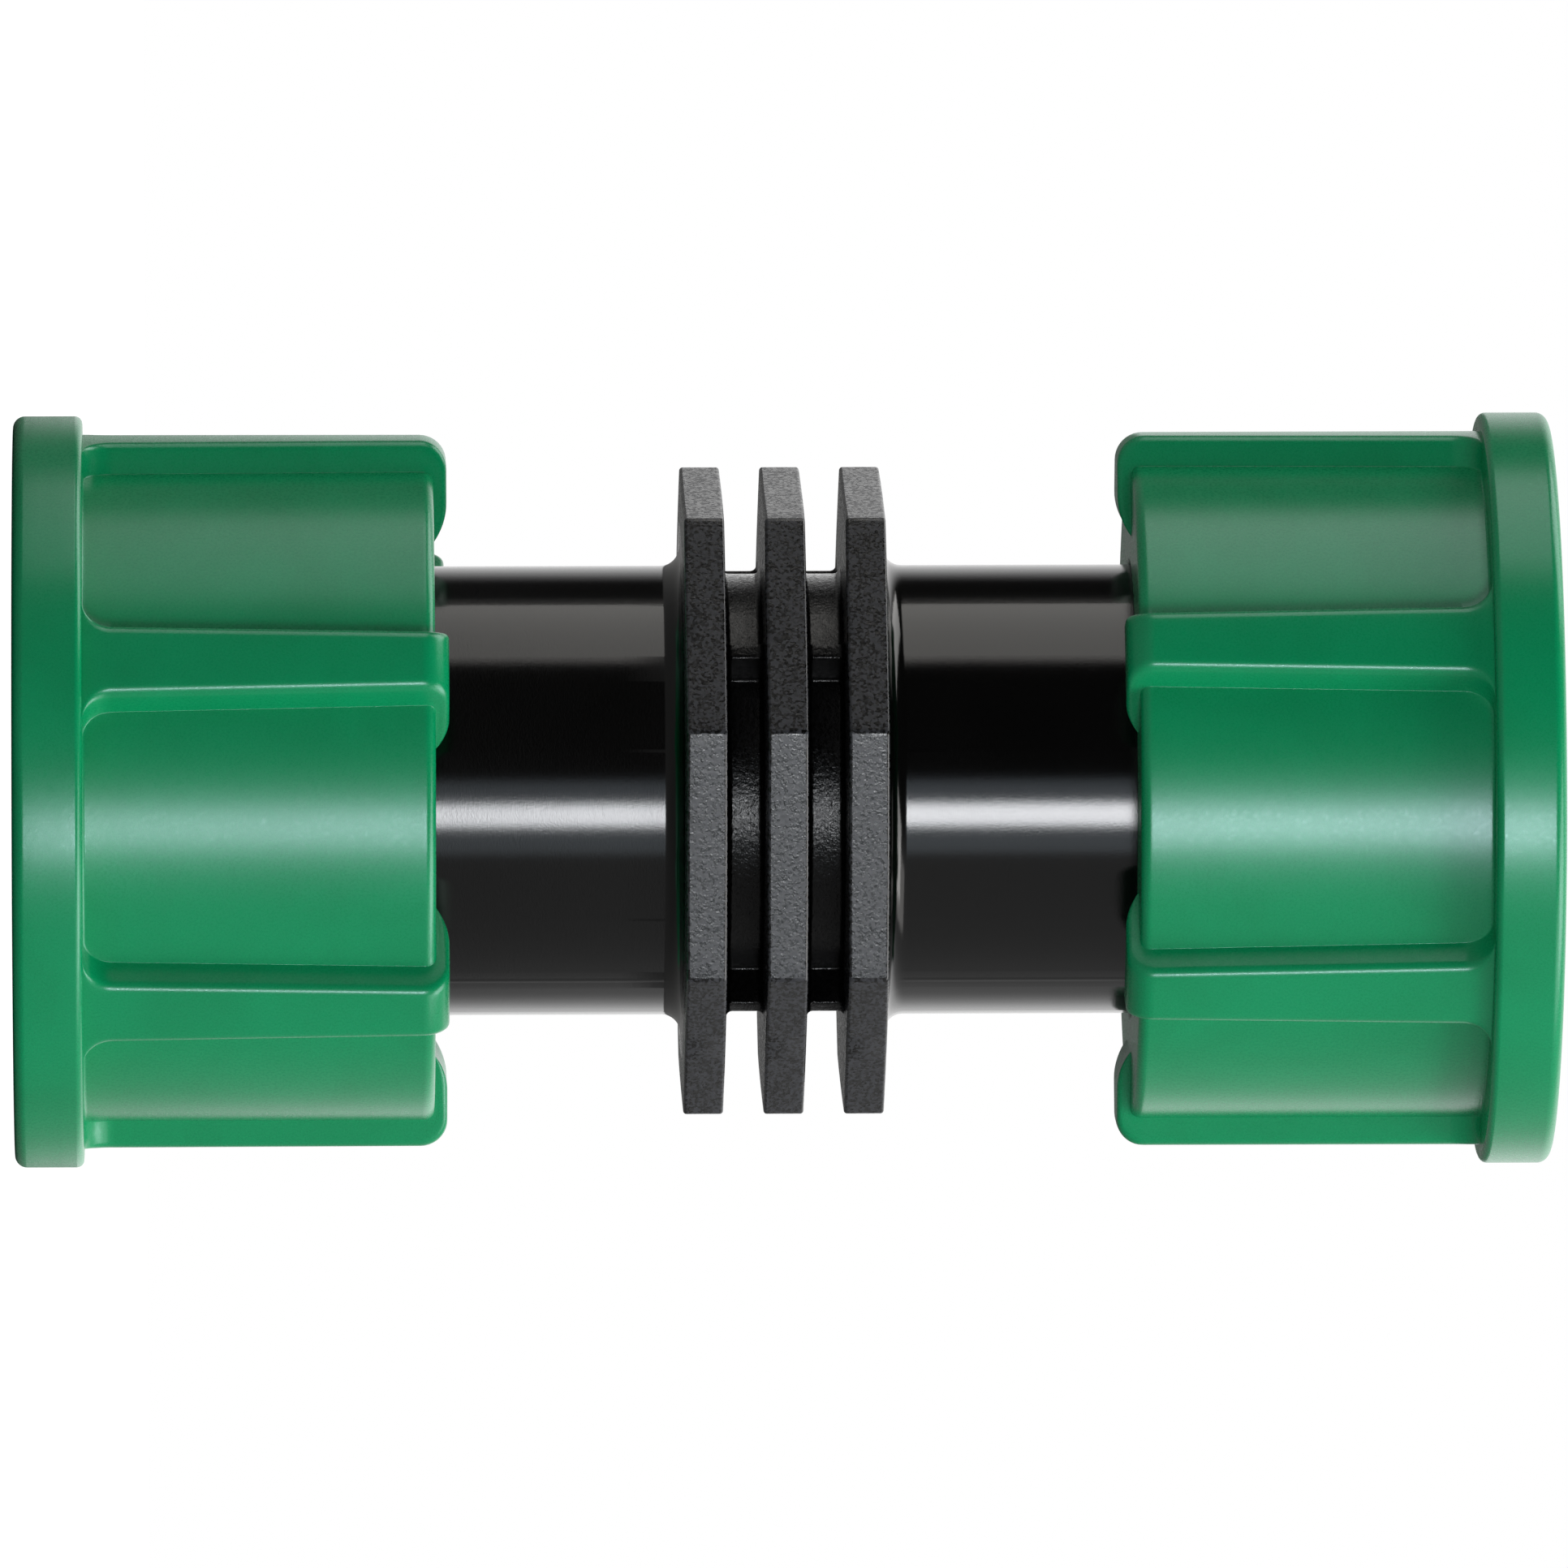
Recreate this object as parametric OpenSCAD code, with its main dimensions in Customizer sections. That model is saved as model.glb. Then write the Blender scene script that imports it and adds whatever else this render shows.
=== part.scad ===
// Double swivel coupling for 1 inch sprinkler pipework: a moulded body with three
// octagonal spanner plates, and a ribbed swivel nut on each end for a male pipe thread.
// The axis is Z. The coupling stands on its lower nut, whose mouth lies at Z = 0.

/* [Body] */
// Outer diameter of the two pipe ends
pipe_d = 26.6; // [25:0.1:27.4]
// Diameter of the waterway
bore_d = 20.6; // [17:0.1:21.4]
// Rounding of the waterway at each pipe end
bore_lip_r = 0.4; // [0.1:0.1:0.8]
// Bevel that leads the retaining ring on to the pipe end
pipe_bevel = 0.5; // [0.2:0.1:0.9]
// Length of bare pipe between a nut and the nearest spanner plate
bare_l = 14.6; // [5:0.1:40]

/* [Spanner plates] */
// Size across the flats of the octagonal plates
flats = 36; // [34:0.5:46]
// Number of plates side by side
plate_count = 3; // [2:1:5]
// Thickness of a plate at its root
plate_t = 2.56; // [1.5:0.01:4]
// How much thinner a plate is at its rim than at its root
plate_draft = 0.2; // [0.05:0.05:0.5]
// Gap between two plates at their roots
plate_gap = 2.19; // [1.5:0.01:4]
// How far the points of the octagon are rounded off
point_trim = 0.08; // [0.02:0.02:0.3]
// Fillet between the pipe and each outer plate
plate_fillet = 1.1; // [0.3:0.1:2]
// Diameter of the hub between the plates
hub_d = 25.6; // [24:0.1:28]
// Fillet between the hub and the plates
hub_fillet = 0.35; // [0.1:0.05:0.7]
// Diameter over the four webs that join the plates
web_d = 30.4; // [29.5:0.1:33]
// Thickness of a web
web_t = 1; // [0.6:0.1:2]

/* [Swivel nuts] */
// Outer diameter of the barrel between the ribs
barrel_d = 39; // [38:0.1:40]
// Rounding of the barrel at its inner end
barrel_edge_r = 0.6; // [0.1:0.1:1]
// Outer diameter of the rim at the mouth
rim_d = 44.5; // [43.4:0.1:47]
// Width of the rim along the axis
rim_w = 4.1; // [2.5:0.1:6]
// Rounding of the rim at the mouth
rim_front_r = 0.7; // [0.2:0.1:1]
// Rounding of the rim towards the ribs
rim_back_r = 0.45; // [0.1:0.05:0.6]
// Radial running gap between a nut and the pipe
swivel_gap = 0.25; // [0.1:0.05:0.4]
// Turn of the lower nut about the axis, in degrees
lower_turn = -4.1; // [-30:0.1:30]
// Turn of the upper nut about the axis, in degrees
upper_turn = -7.1; // [-30:0.1:30]

/* [Grip ribs] */
// Number of ribs round a nut
rib_count = 6; // [4:1:8]
// Diameter over the ribs
rib_d = 42.3; // [41:0.1:43]
// Width of a rib at its hooked end
rib_w = 3.45; // [2:0.05:5]
// Extra width of a rib at the rim, from the draft of both sides
rib_draft = 0.75; // [0.1:0.05:1]
// Slope of the sides of a rib, from its top down to the barrel, in degrees
rib_slope = 17; // [5:1:20]
// Radius of the flare at the foot of a rib
rib_flare_r = 1.8; // [0.5:0.1:3]
// How far the hooked end of a rib stands out past the barrel
hook_proud = 0.8; // [0.4:0.1:1.2]
// Rounding of the outer corner of the hook
hook_corner_r = 1.6; // [0.5:0.1:2]
// Rounding of the inner end of the hook
hook_toe_r = 3; // [2:0.1:4]
// Diameter at which the rounding of the hook's inner end starts
hook_toe_d = 35.4; // [34.8:0.1:36.5]

/* [Female thread] */
// Diameter of the threaded wall, over the thread's crests
thread_d = 30.3; // [29.4:0.1:31]
// Length of the threaded wall
thread_l = 11.05; // [6:0.05:20]
// Diameter of the bevelled mouth
mouth_d = 34.2; // [33.4:0.1:36]

/* [Sealing washers] */
// Thickness of a washer
washer_t = 3; // [1.5:0.1:5]
// How much larger the hole of a washer is than the waterway, on the radius
washer_setback = 0.2; // [0.05:0.05:1]
// Rounding of the edges of a washer
washer_edge_r = 0.25; // [0.1:0.05:0.6]
// Depth of the relief behind the thread that keeps a washer in
relief_depth = 0.75; // [0.4:0.05:1]
// Gap between a washer and the wall of the relief
washer_gap = 0.3; // [0.1:0.05:0.6]
// Gap between the thread's end and a washer
washer_play = 0.6; // [0.2:0.1:2]
// Gap between the pipe end and the shoulder of the nut
shoulder_gap = 0.8; // [0.3:0.1:2]

/* [Retaining rings] */
// Thickness of a ring along the axis
ring_t = 1.8; // [1:0.1:3]
// Width of a ring across its section
ring_w = 1.9; // [1.7:0.1:2]
// Depth of the groove in the pipe
pipe_groove = 0.9; // [0.6:0.1:1]
// Gap between a ring and each side of its groove in the pipe
ring_gap = 0.1; // [0.05:0.05:0.3]
// Gap between a ring and each side of its groove in the nut
nut_groove_gap = 0.2; // [0.1:0.05:0.5]
// Width of the split in a ring
ring_split = 3; // [1:0.1:6]
// Rounding of the edges of a ring
ring_edge_r = 0.2; // [0.1:0.05:0.4]
// Length of nut wall between its shoulder and the ring's groove
ring_land = 2.7; // [1.5:0.1:6]
// Length of nut wall between the ring's groove and the inner end
lip_land = 2.5; // [1.5:0.1:6]

/* [Hidden] */
$fn = 96;

body_colour = [0.07, 0.07, 0.07];
nut_colour = [0.0, 0.49, 0.29];
ring_colour = [0.86, 0.85, 0.8];
washer_colour = [0.16, 0.16, 0.17];

// Cutters and roots run past the faces they meet by this much
over = 1;
// A flare runs this deep into the rim, so that it crosses the rim's face
flare_sink = 0.05;

// Stations of one nut along its axis, measured from its mouth
mouth_bevel = (mouth_d - thread_d) / 2;
thread_end_z = mouth_bevel + thread_l;
washer_z = thread_end_z + washer_play;
pipe_end_z = washer_z + washer_t;
shoulder_z = pipe_end_z + shoulder_gap;
nut_groove_z = shoulder_z + ring_land;
nut_groove_w = ring_t + 2 * nut_groove_gap;
nut_l = nut_groove_z + nut_groove_w + lip_land;
ring_z = nut_groove_z + nut_groove_gap;

// Radii of the pieces that fit in each other
lip_r = pipe_d / 2 + swivel_gap;
pipe_groove_r = pipe_d / 2 - pipe_groove;
ring_in_r = pipe_groove_r + ring_gap;
ring_out_r = ring_in_r + ring_w;
nut_groove_r = pipe_d / 2 + ring_w + ring_gap;
relief_r = thread_d / 2 + relief_depth;
washer_out_r = relief_r - washer_gap;
washer_in_r = bore_d / 2 + washer_setback;

// Stations of the whole coupling
pack_l = plate_count * plate_t + (plate_count - 1) * plate_gap;
pack_z = nut_l + bare_l;
total_l = 2 * pack_z + pack_l;
plate_pitch = plate_t + plate_gap;

// Octagon of the plates
point_r = flats / 2 / cos(180 / 8);
plate_r = point_r - point_trim;

// Outer end of the rib, and the width and taper of its sides above the flare
hook_z = nut_l + hook_proud;
flare_top_z = rim_w + rib_flare_r;
foot_w = rib_w + rib_draft;
rib_taper = atan(rib_draft / 2 / (hook_z - flare_top_z));

// Fills the corner between two walls along X and Y with a concave fillet
module corner_fillet(r) {
    difference() {
        square(r);
        translate([r, r]) circle(r);
    }
}

// Covers the sharp corner of a section at the origin, leaving a round of radius r when cut away
module corner_cut(r) {
    difference() {
        translate([-over, -over]) square(r + over);
        translate([r, r]) circle(r);
    }
}

// A washer or ring section of width w and height h with four rounded edges, inner side at X = 0
module rounded_section(w, h, r) {
    difference() {
        square([w, h]);
        corner_cut(r);
        translate([w, 0]) mirror([1, 0]) corner_cut(r);
        translate([0, h]) mirror([0, 1]) corner_cut(r);
        translate([w, h]) rotate(180) corner_cut(r);
    }
}

// Section of one pipe end, standing at Z = 0 and running into the root of its outer plate
module pipe_section() {
    difference() {
        translate([bore_d / 2, 0])
            square([(pipe_d - bore_d) / 2, pack_z - pipe_end_z + plate_t / 2]);
        pipe_end_cuts();
    }
}

// Section of the hub between the outer plates, with its fillets in each gap
module hub_section() {
    translate([bore_d / 2, 0]) square([(hub_d - bore_d) / 2, pack_l]);
    for (i = [0:plate_count - 2])
        translate([hub_d / 2, plate_t + i * plate_pitch]) {
            corner_fillet(hub_fillet);
            translate([0, plate_gap]) mirror([0, 1]) corner_fillet(hub_fillet);
        }
}

// What is cut from the pipe wall at one end: the bevel, the rounded lip and the ring's groove
module pipe_end_cuts() {
    translate([bore_d / 2, 0]) corner_cut(bore_lip_r);
    polygon([
        [pipe_d / 2 - pipe_bevel, 0],
        [pipe_d / 2 - pipe_bevel, -over],
        [pipe_d / 2 + over, -over],
        [pipe_d / 2 + over, pipe_bevel],
        [pipe_d / 2, pipe_bevel]
    ]);
    translate([pipe_groove_r, ring_z - ring_gap - pipe_end_z])
        square([pipe_groove + over, ring_t + 2 * ring_gap]);
}

// Concave fillets from the pipe to the two outer plates
module plate_fillets() {
    for (side = [0, 1])
        translate([0, 0, side * pack_l])
            mirror([0, 0, 1 - side])
                rotate_extrude()
                    translate([pipe_d / 2, 0]) corner_fillet(plate_fillet);
}

// One octagonal plate, its lower face at Z = 0, thinner towards its rim
module spanner_plate() {
    intersection() {
        linear_extrude(height = plate_t)
            intersection() {
                rotate(180 / 8) circle(r = point_r, $fn = 8);
                circle(r = plate_r);
            }
        rotate_extrude()
            polygon([
                [bore_d / 2, 0],
                [hub_d / 2, 0],
                [point_r, plate_draft / 2],
                [point_r, plate_t - plate_draft / 2],
                [hub_d / 2, plate_t],
                [bore_d / 2, plate_t]
            ]);
    }
}

// Four webs that join the plates, from the root of the first plate to the root of the last
module webs() {
    wall_r = (bore_d + hub_d) / 4;
    for (turn = [45:90:315])
        rotate(turn)
            translate([wall_r, -web_t / 2, plate_t / 2])
                cube([web_d / 2 - wall_r, web_t, pack_l - plate_t]);
}

// One-piece moulded body
module coupling_body() {
    color(body_colour) {
        rotate_extrude() {
            translate([0, pipe_end_z]) pipe_section();
            translate([0, total_l - pipe_end_z]) mirror([0, 1]) pipe_section();
            translate([0, pack_z]) hub_section();
        }
        translate([0, 0, pack_z]) {
            plate_fillets();
            webs();
            for (i = [0:plate_count - 1])
                translate([0, 0, i * plate_pitch]) spanner_plate();
        }
    }
}

// Section of the barrel and rim of a nut, its mouth at Z = 0
module nut_section() {
    difference() {
        union() {
            square([barrel_d / 2, nut_l]);
            square([rim_d / 2, rim_w]);
        }
        translate([rim_d / 2, 0]) mirror([1, 0]) corner_cut(rim_front_r);
        translate([rim_d / 2, rim_w]) rotate(180) corner_cut(rim_back_r);
        translate([barrel_d / 2, nut_l]) rotate(180) corner_cut(barrel_edge_r);
        nut_cavity_section();
    }
}

// Section of what is hollow in a nut: mouth, threaded wall, relief, lip and ring groove
module nut_cavity_section() {
    polygon([
        [0, -over],
        [mouth_d / 2 + over, -over],
        [thread_d / 2, mouth_bevel],
        [thread_d / 2, thread_end_z],
        [relief_r, thread_end_z + relief_depth],
        [relief_r, shoulder_z],
        [lip_r, shoulder_z],
        [lip_r, nut_groove_z],
        [nut_groove_r, nut_groove_z],
        [nut_groove_r, nut_groove_z + nut_groove_w],
        [lip_r, nut_groove_z + nut_groove_w],
        [lip_r, hook_z + over],
        [0, hook_z + over]
    ]);
}

// Side view of a rib on the axis: along the barrel, round the corner and down the hooked end
module rib_side() {
    difference() {
        union() {
            translate([lip_r, rim_w / 2]) square([rib_d / 2 - lip_r, nut_l - rim_w / 2]);
            translate([hook_toe_d / 2, rim_w / 2])
                square([(rib_d - hook_toe_d) / 2, hook_z - rim_w / 2]);
            intersection() {
                translate([hook_toe_d / 2, hook_z - hook_toe_r]) circle(hook_toe_r);
                translate([lip_r, nut_l - over]) square([hook_toe_d / 2, hook_proud + over]);
            }
        }
        translate([rib_d / 2, hook_z]) rotate(180) corner_cut(hook_corner_r);
        nut_cavity_section();
    }
}

// Plan of a rib at its top: tapered sides, and a flare at each side of its foot
module rib_plan() {
    polygon([
        [-foot_w / 2, rim_w / 2],
        [foot_w / 2, rim_w / 2],
        [foot_w / 2, flare_top_z],
        [rib_w / 2, hook_z],
        [rib_w / 2, hook_z + over],
        [-rib_w / 2, hook_z + over],
        [-rib_w / 2, hook_z],
        [-foot_w / 2, flare_top_z]
    ]);
    for (side = [0, 1])
        mirror([side, 0]) {
            translate([foot_w / 2, rim_w - flare_sink]) corner_fillet(rib_flare_r + flare_sink);
            translate([0, rim_w / 2]) square([foot_w / 2 + rib_flare_r, rim_w / 2]);
        }
}

// Half of a rib whose side slopes from the top edge down to the barrel, and tapers towards the hook
module sloped_half() {
    drop = rib_d / 2 - lip_r;
    below = flare_top_z - rim_w / 2;
    translate([lip_r, foot_w / 2, flare_top_z])
        rotate([rib_taper, 0, 0])
            translate([0, 0, -below])
                linear_extrude(height = hook_z - flare_top_z + below + over)
                    polygon([
                        [0, drop * tan(rib_slope)],
                        [0, -rib_w / 2],
                        [drop + over, -rib_w / 2],
                        [drop + over, -over * tan(rib_slope)]
                    ]);
}

// One hooked rib, standing out along X
module rib() {
    intersection() {
        rotate_extrude() rib_side();
        union() {
            rotate([90, 0, 90]) linear_extrude(height = rib_d) rib_plan();
            for (side = [0, 1])
                mirror([0, side, 0]) sloped_half();
        }
    }
}

// One swivel nut, its mouth at Z = 0
module swivel_nut() {
    rotate_extrude() nut_section();
    for (i = [0:rib_count - 1])
        rotate(i * 360 / rib_count) rib();
}

// Split ring, half in the groove of the pipe and half in the groove of the nut
module retaining_ring() {
    difference() {
        translate([0, 0, ring_z])
            rotate_extrude()
                translate([ring_in_r, 0]) rounded_section(ring_w, ring_t, ring_edge_r);
        translate([0, -ring_split / 2, ring_z - over])
            cube([ring_out_r + over, ring_split, ring_t + 2 * over]);
    }
}

// Flat washer on the pipe end
module sealing_washer() {
    translate([0, 0, washer_z])
        rotate_extrude()
            translate([washer_in_r, 0])
                rounded_section(washer_out_r - washer_in_r, washer_t, washer_edge_r);
}

// Turns a piece of the lower end over to the upper end
module at_upper_end() {
    translate([0, 0, total_l]) rotate([180, 0, 0]) children();
}

module swivel_nut_lower() {
    color(nut_colour) rotate(lower_turn) swivel_nut();
}

module swivel_nut_upper() {
    color(nut_colour) rotate(upper_turn) at_upper_end() swivel_nut();
}

module retaining_ring_lower() {
    color(ring_colour) retaining_ring();
}

module retaining_ring_upper() {
    color(ring_colour) at_upper_end() retaining_ring();
}

module sealing_washer_lower() {
    color(washer_colour) sealing_washer();
}

module sealing_washer_upper() {
    color(washer_colour) at_upper_end() sealing_washer();
}

coupling_body();
swivel_nut_lower();
swivel_nut_upper();
retaining_ring_lower();
retaining_ring_upper();
sealing_washer_lower();
sealing_washer_upper();
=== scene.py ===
import math

import bmesh
import bpy
import numpy as np
from mathutils import Matrix, Vector


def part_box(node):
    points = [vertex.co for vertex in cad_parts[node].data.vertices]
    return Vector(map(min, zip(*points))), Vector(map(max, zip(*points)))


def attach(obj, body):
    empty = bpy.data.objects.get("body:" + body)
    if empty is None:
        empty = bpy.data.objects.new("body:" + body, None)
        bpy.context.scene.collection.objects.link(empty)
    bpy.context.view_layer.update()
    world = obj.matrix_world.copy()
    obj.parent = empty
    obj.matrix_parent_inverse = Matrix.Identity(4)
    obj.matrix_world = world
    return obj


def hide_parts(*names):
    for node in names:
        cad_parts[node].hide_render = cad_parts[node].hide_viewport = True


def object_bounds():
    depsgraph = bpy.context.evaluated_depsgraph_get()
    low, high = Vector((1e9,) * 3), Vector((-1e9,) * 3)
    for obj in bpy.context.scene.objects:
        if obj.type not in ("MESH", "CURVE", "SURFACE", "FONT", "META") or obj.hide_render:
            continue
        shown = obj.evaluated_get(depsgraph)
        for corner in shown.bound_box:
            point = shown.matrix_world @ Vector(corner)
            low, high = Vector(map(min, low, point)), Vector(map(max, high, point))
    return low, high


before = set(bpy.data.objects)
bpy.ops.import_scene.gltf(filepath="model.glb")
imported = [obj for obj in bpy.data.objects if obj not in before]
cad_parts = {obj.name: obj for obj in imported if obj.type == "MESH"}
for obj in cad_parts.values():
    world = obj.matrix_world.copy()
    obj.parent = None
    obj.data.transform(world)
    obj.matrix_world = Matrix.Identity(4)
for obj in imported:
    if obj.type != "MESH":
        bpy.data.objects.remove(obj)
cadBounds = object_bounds()

mm = 0.001
mergeDistance = 0.000001
couplingLength = cadBounds[1].z / mm


# Small helpers for sections: points are (radius, height) pairs in millimetres

def arcPoints(centre, radius, start, end, steps):
    angles = np.radians(np.linspace(start, end, steps + 1))
    return [(centre[0] + radius * math.cos(a), centre[1] + radius * math.sin(a)) for a in angles]


def straightPoints(start, end, steps):
    return [tuple(p) for p in np.linspace(start, end, steps + 1)]


def ringOfPoints(radius, angles, height):
    radius = np.broadcast_to(radius, np.shape(angles))
    height = np.broadcast_to(height, np.shape(angles))
    return np.stack([radius * np.cos(angles), radius * np.sin(angles), height], axis=-1)


def smoothStep(value):
    value = np.clip(value, 0, 1)
    return value * value * (3 - 2 * value)


def wholeSector(halfSector, count):
    # A half sector starts on the X axis, and its mirror image makes it whole
    mirrored = halfSector[:, ::-1] * np.array([1, -1, 1])
    return np.concatenate([halfSector, turned(mirrored, 2 * math.pi / count)[:, 1:]], axis=1)


def wholeRound(halfSector, count):
    sector = wholeSector(halfSector, count)[:, :-1]
    return np.concatenate([turned(sector, 2 * math.pi * i / count) for i in range(count)], axis=1)


def turned(points, angle):
    c, s = math.cos(angle), math.sin(angle)
    x, y, z = points[..., 0], points[..., 1], points[..., 2]
    return np.stack([c * x - s * y, s * x + c * y, z], axis=-1)


def addSheet(parts, rows, closed, finish=0):
    # Quads between neighbouring rows. A closed sheet also joins its last column to the first one
    rows = np.asarray(rows, float)
    rowCount, columnCount = rows.shape[:2]
    first = sum(len(p) for p in parts["points"])
    parts["points"].append(rows.reshape(-1, 3))
    index = first + np.arange(rowCount * columnCount).reshape(rowCount, columnCount)
    across = np.concatenate([index, index[:, :1]], axis=1) if closed else index
    quads = np.stack([across[:-1, :-1], across[:-1, 1:], across[1:, 1:], across[1:, :-1]], axis=-1)
    quads = quads.reshape(-1, 4)
    parts["faces"].append(quads)
    parts["finish"].append(np.broadcast_to(finish, len(quads)))


def makePiece(name, parts, turn=None, sharpAngle=38):
    points = np.concatenate(parts["points"]) * mm
    faces = np.concatenate(parts["faces"])
    finishes = np.concatenate(parts["finish"])
    mesh = bpy.data.meshes.new(name)
    mesh.from_pydata(points.tolist(), [], faces.tolist())
    mesh.polygons.foreach_set("material_index", finishes.astype(np.int32))
    if turn:
        mesh.transform(turn)
    work = bmesh.new()
    work.from_mesh(mesh)
    bmesh.ops.remove_doubles(work, verts=work.verts, dist=mergeDistance)
    bmesh.ops.recalc_face_normals(work, faces=work.faces)
    loose = sum(1 for e in work.edges if not e.is_manifold)
    work.to_mesh(mesh)
    work.free()
    mesh.polygons.foreach_set("use_smooth", [True] * len(mesh.polygons))
    mesh.set_sharp_from_angle(angle=math.radians(sharpAngle))
    piece = bpy.data.objects.new(name, mesh)
    bpy.context.scene.collection.objects.link(piece)
    weighting = piece.modifiers.new("faceWeighting", "WEIGHTED_NORMAL")
    weighting.keep_sharp = True
    print("built", name, "faces", len(mesh.polygons), "open edges", loose)
    return piece


# Swivel nuts: barrel, rim, six hooked ribs with flared feet, and the female thread inside.
# Lengths are in millimetres and angles in degrees

nutLow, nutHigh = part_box("swivel_nut_lower")
ringLow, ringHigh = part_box("retaining_ring_lower")

nut = {
    "ribCount": 6,
    "rimRadius": nutHigh.x / mm,
    "rimWidth": 4.1,
    "rimFrontRound": 0.7,
    "rimBackRound": 0.45,
    "barrelRadius": 19.5,
    "barrelEdge": 0.6,
    "ribRadius": 21.15,
    "ribFoot": 4.2,
    "ribEnd": 3.45,
    "flare": 1.8,  # radius at each side of a rib's foot
    "hookEnd": nutHigh.z / mm,
    "hookProud": 0.8,  # how far the hooks stand past the end of the barrel
    "hookCorner": 1.6,
    "hookToe": 3.0,  # radius where a hook runs out on the end of the barrel
    "hookToeStart": 17.7,
    "ribSlope": 17,
    "ribEdge": 0.65,
    "ribRoot": 0.04,
    "rimRoot": 0.15,
    "threadCrest": 15.15,
    "threadDepth": 1.47,
    "threadPitch": 2.31,
    "threadFlat": 0.17,  # flat share of a root and of a crest, in half pitches
    "threadSoftness": 0.4,  # 0 has straight flanks
    "threadEnd": 13.0,
    "threadRunOut": 1.8,
    "mouthRadius": 17.1,
    "relief": 0.75,  # the bore behind the thread is this much wider
    "lipRadius": 13.55,
    "lipEdge": 0.2,
    "shoulder": 17.4,
    "grooveRadius": 15.3,
    "grooveSide": 0.2,
    "turnLower": -4.1,
    "turnUpper": -7.1,
}

# How many quads each stretch has: over half a rib and window, along a rib, round the rim and inside
nutColumns = {"top": 6, "edge": 5, "wall": 2, "root": 3, "floor": 12}
nutRows = {"flare": 14, "rib": 8, "corner": 10, "barrelEdge": 8, "hookTop": 3, "toe": 8}
insideRows = {"rimBack": 6, "rimWall": 3, "rimFront": 8, "rimFace": 3, "thread": 70, "lip": 4}


def nutRibRows():
    # One entry for each row of points across a rib: its top, the barrel beside it, its half width,
    # the direction of its side, the two roundings and the slope of the side
    n, steps = nut, nutRows
    barrelEnd = n["hookEnd"] - n["hookProud"]
    flareTop = n["rimWidth"] + n["flare"]
    halfFoot = n["ribFoot"] / 2
    taper = (n["ribFoot"] - n["ribEnd"]) / 2 / (n["hookEnd"] - flareTop)
    slope = math.radians(n["ribSlope"])
    rows = []
    for turn in np.radians(np.linspace(90, 0, steps["flare"] + 1)):
        t = halfFoot + n["flare"] * (1 - math.cos(turn))
        z = flareTop - n["flare"] * math.sin(turn)
        edge = n["ribEdge"] * math.cos(turn) ** 2
        root = n["rimRoot"] + (n["ribRoot"] - n["rimRoot"]) * math.cos(turn)
        wall = (math.cos(turn), math.sin(turn))
        top, floor = (n["ribRadius"], z), (n["barrelRadius"], z)
        rows.append((top, floor, t, wall, edge, root, slope * math.cos(turn)))
    rib, barrel = n["ribRadius"], n["barrelRadius"]
    cornerStart = n["hookEnd"] - n["hookCorner"]
    cornerMiddle = (rib - n["hookCorner"], cornerStart)
    tops = straightPoints((rib, flareTop), (rib, cornerStart), steps["rib"])[1:]
    tops += arcPoints(cornerMiddle, n["hookCorner"], 0, 90, steps["corner"])[1:]
    tops += straightPoints(tops[-1], (n["hookToeStart"], n["hookEnd"]), steps["hookTop"])[1:]
    edge = n["barrelEdge"]
    edgeMiddle = (barrel - edge, barrelEnd - edge)
    edgeStart = (barrel, barrelEnd - edge)
    floors = straightPoints((barrel, flareTop), (barrel, cornerStart), steps["rib"])[1:]
    floors += straightPoints(floors[-1], edgeStart, steps["corner"] - steps["barrelEdge"])[1:]
    floors += arcPoints(edgeMiddle, edge, 0, 90, steps["barrelEdge"])[1:]
    floors += straightPoints(floors[-1], (n["hookToeStart"], barrelEnd), steps["hookTop"])[1:]
    toeMiddle = (n["hookToeStart"], n["hookEnd"] - n["hookToe"])
    toeTurn = math.degrees(math.acos(1 - n["hookProud"] / n["hookToe"]))
    toe = arcPoints(toeMiddle, n["hookToe"], 90, 90 + toeTurn, steps["toe"])[1:]
    tops += toe
    floors += [(r, barrelEnd) for r, z in toe]
    for top, floor in zip(tops, floors):
        # The sides are flat, so a rib is wider nearer to the axis, also where its hook turns down
        t = halfFoot - taper * (top[1] - flareTop) + (rib - top[0]) * math.tan(slope)
        along = math.atan2(math.tan(slope) * (top[0] - floor[0]), math.dist(top, floor))
        rows.append((top, floor, t, (1.0, 0.0), n["ribEdge"], n["ribRoot"], along))
    return rows


def onNut(t, r, z):
    # A point at radius r that lies t beside the middle plane of a rib
    return (math.sqrt(max(r * r - t * t, 0)), t, z)


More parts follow.
